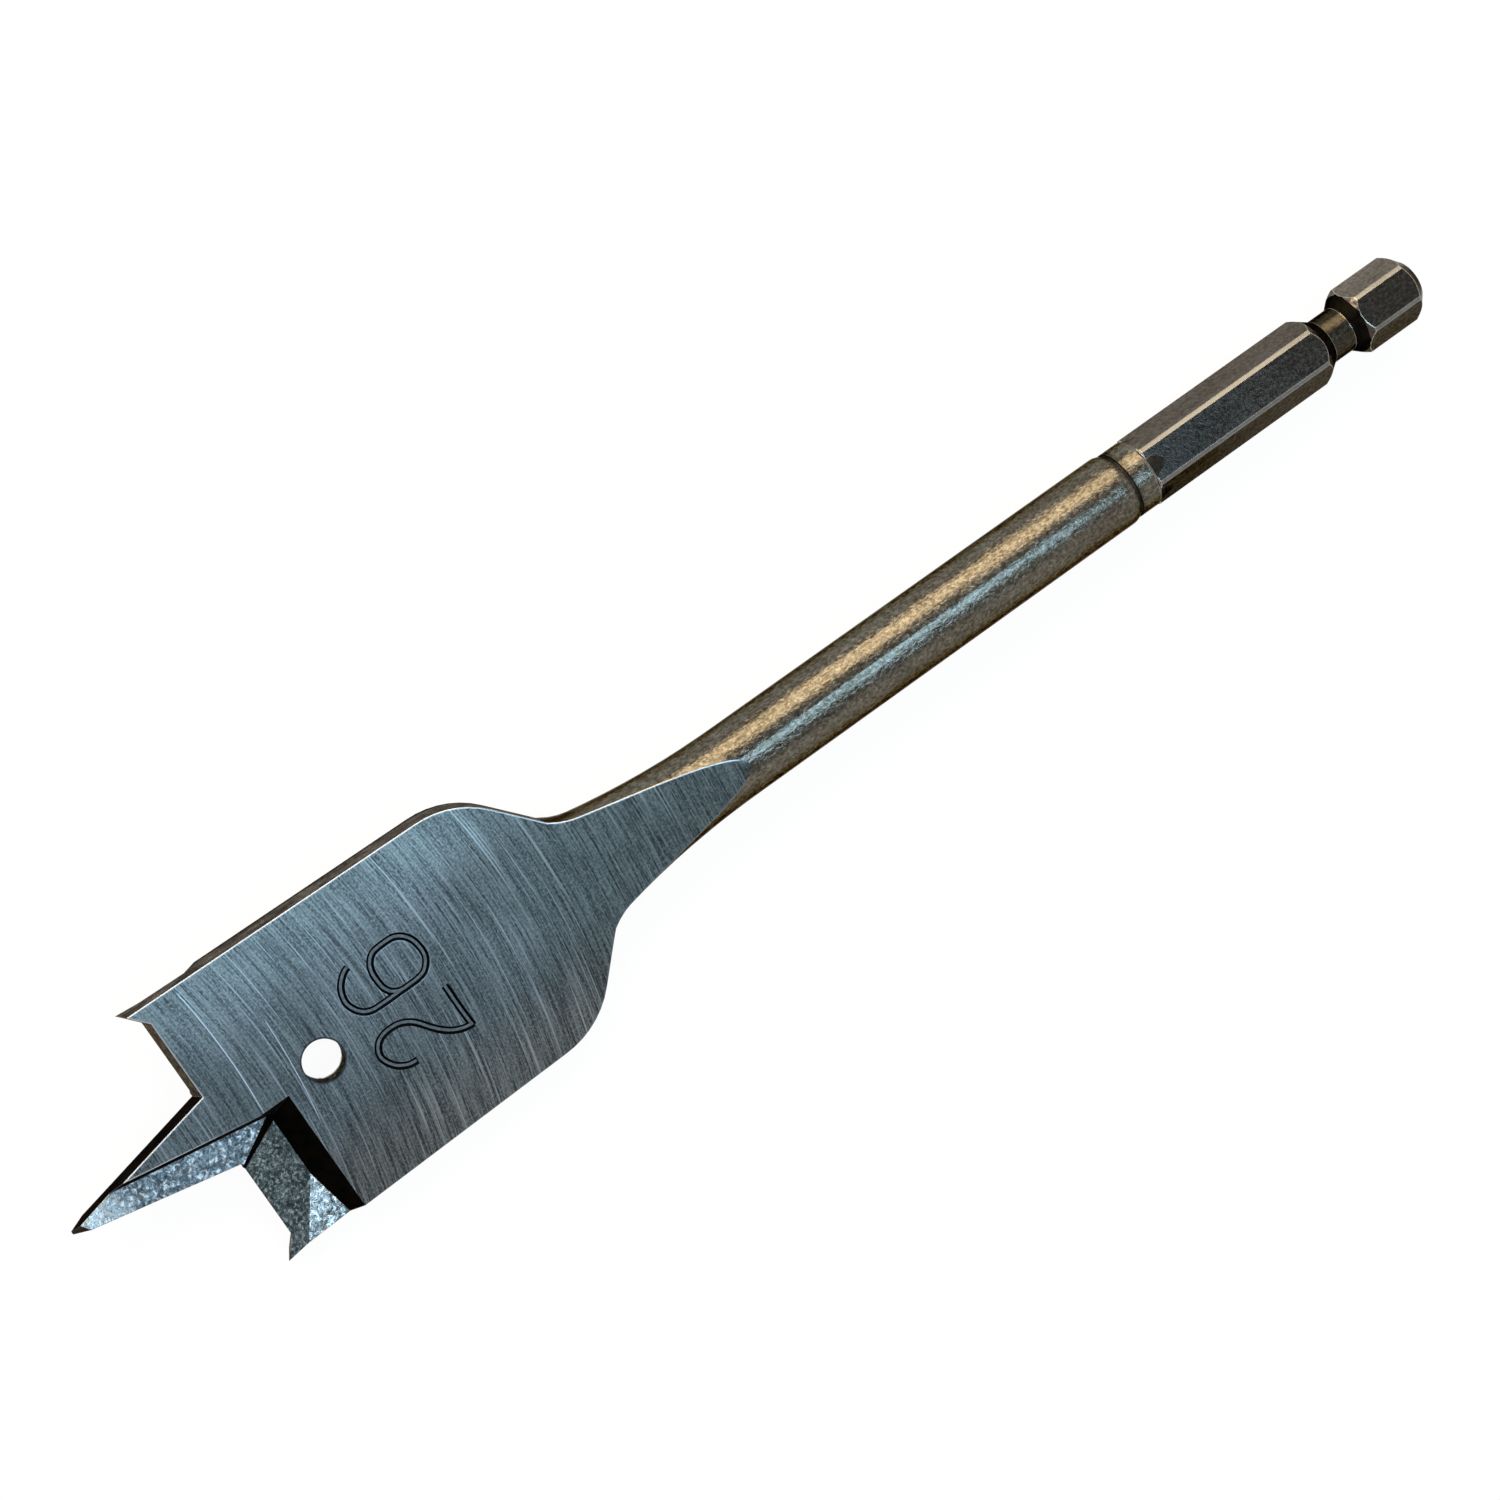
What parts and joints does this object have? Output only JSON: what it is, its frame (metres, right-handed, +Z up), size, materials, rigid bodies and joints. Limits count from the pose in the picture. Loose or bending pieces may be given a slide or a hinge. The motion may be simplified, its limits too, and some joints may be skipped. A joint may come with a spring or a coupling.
{
  "type": "spade drill bit",
  "caption": "Flat paddle wood bit with a centre point, spurred cutting lips, hanging hole and a grooved hex shank.",
  "frame": {"origin": "centre of the chamfered end face of the hex shank", "axes": "+X along the drilling axis toward the point, +Z up as the bit lies at rest, +Y across it; the blade is rolled 8.94 degrees about X, so the face shown in the picture looks along (0, 0.155, 0.988)"},
  "size_m": [0.152, 0.026, 0.0072],
  "materials": {
    "steel": "ground faces on the blade, dark satin on shaft and shank"
  },
  "bodies": {
    "root": {"spade_bit": "steel"}
  },
  "joints": []
}
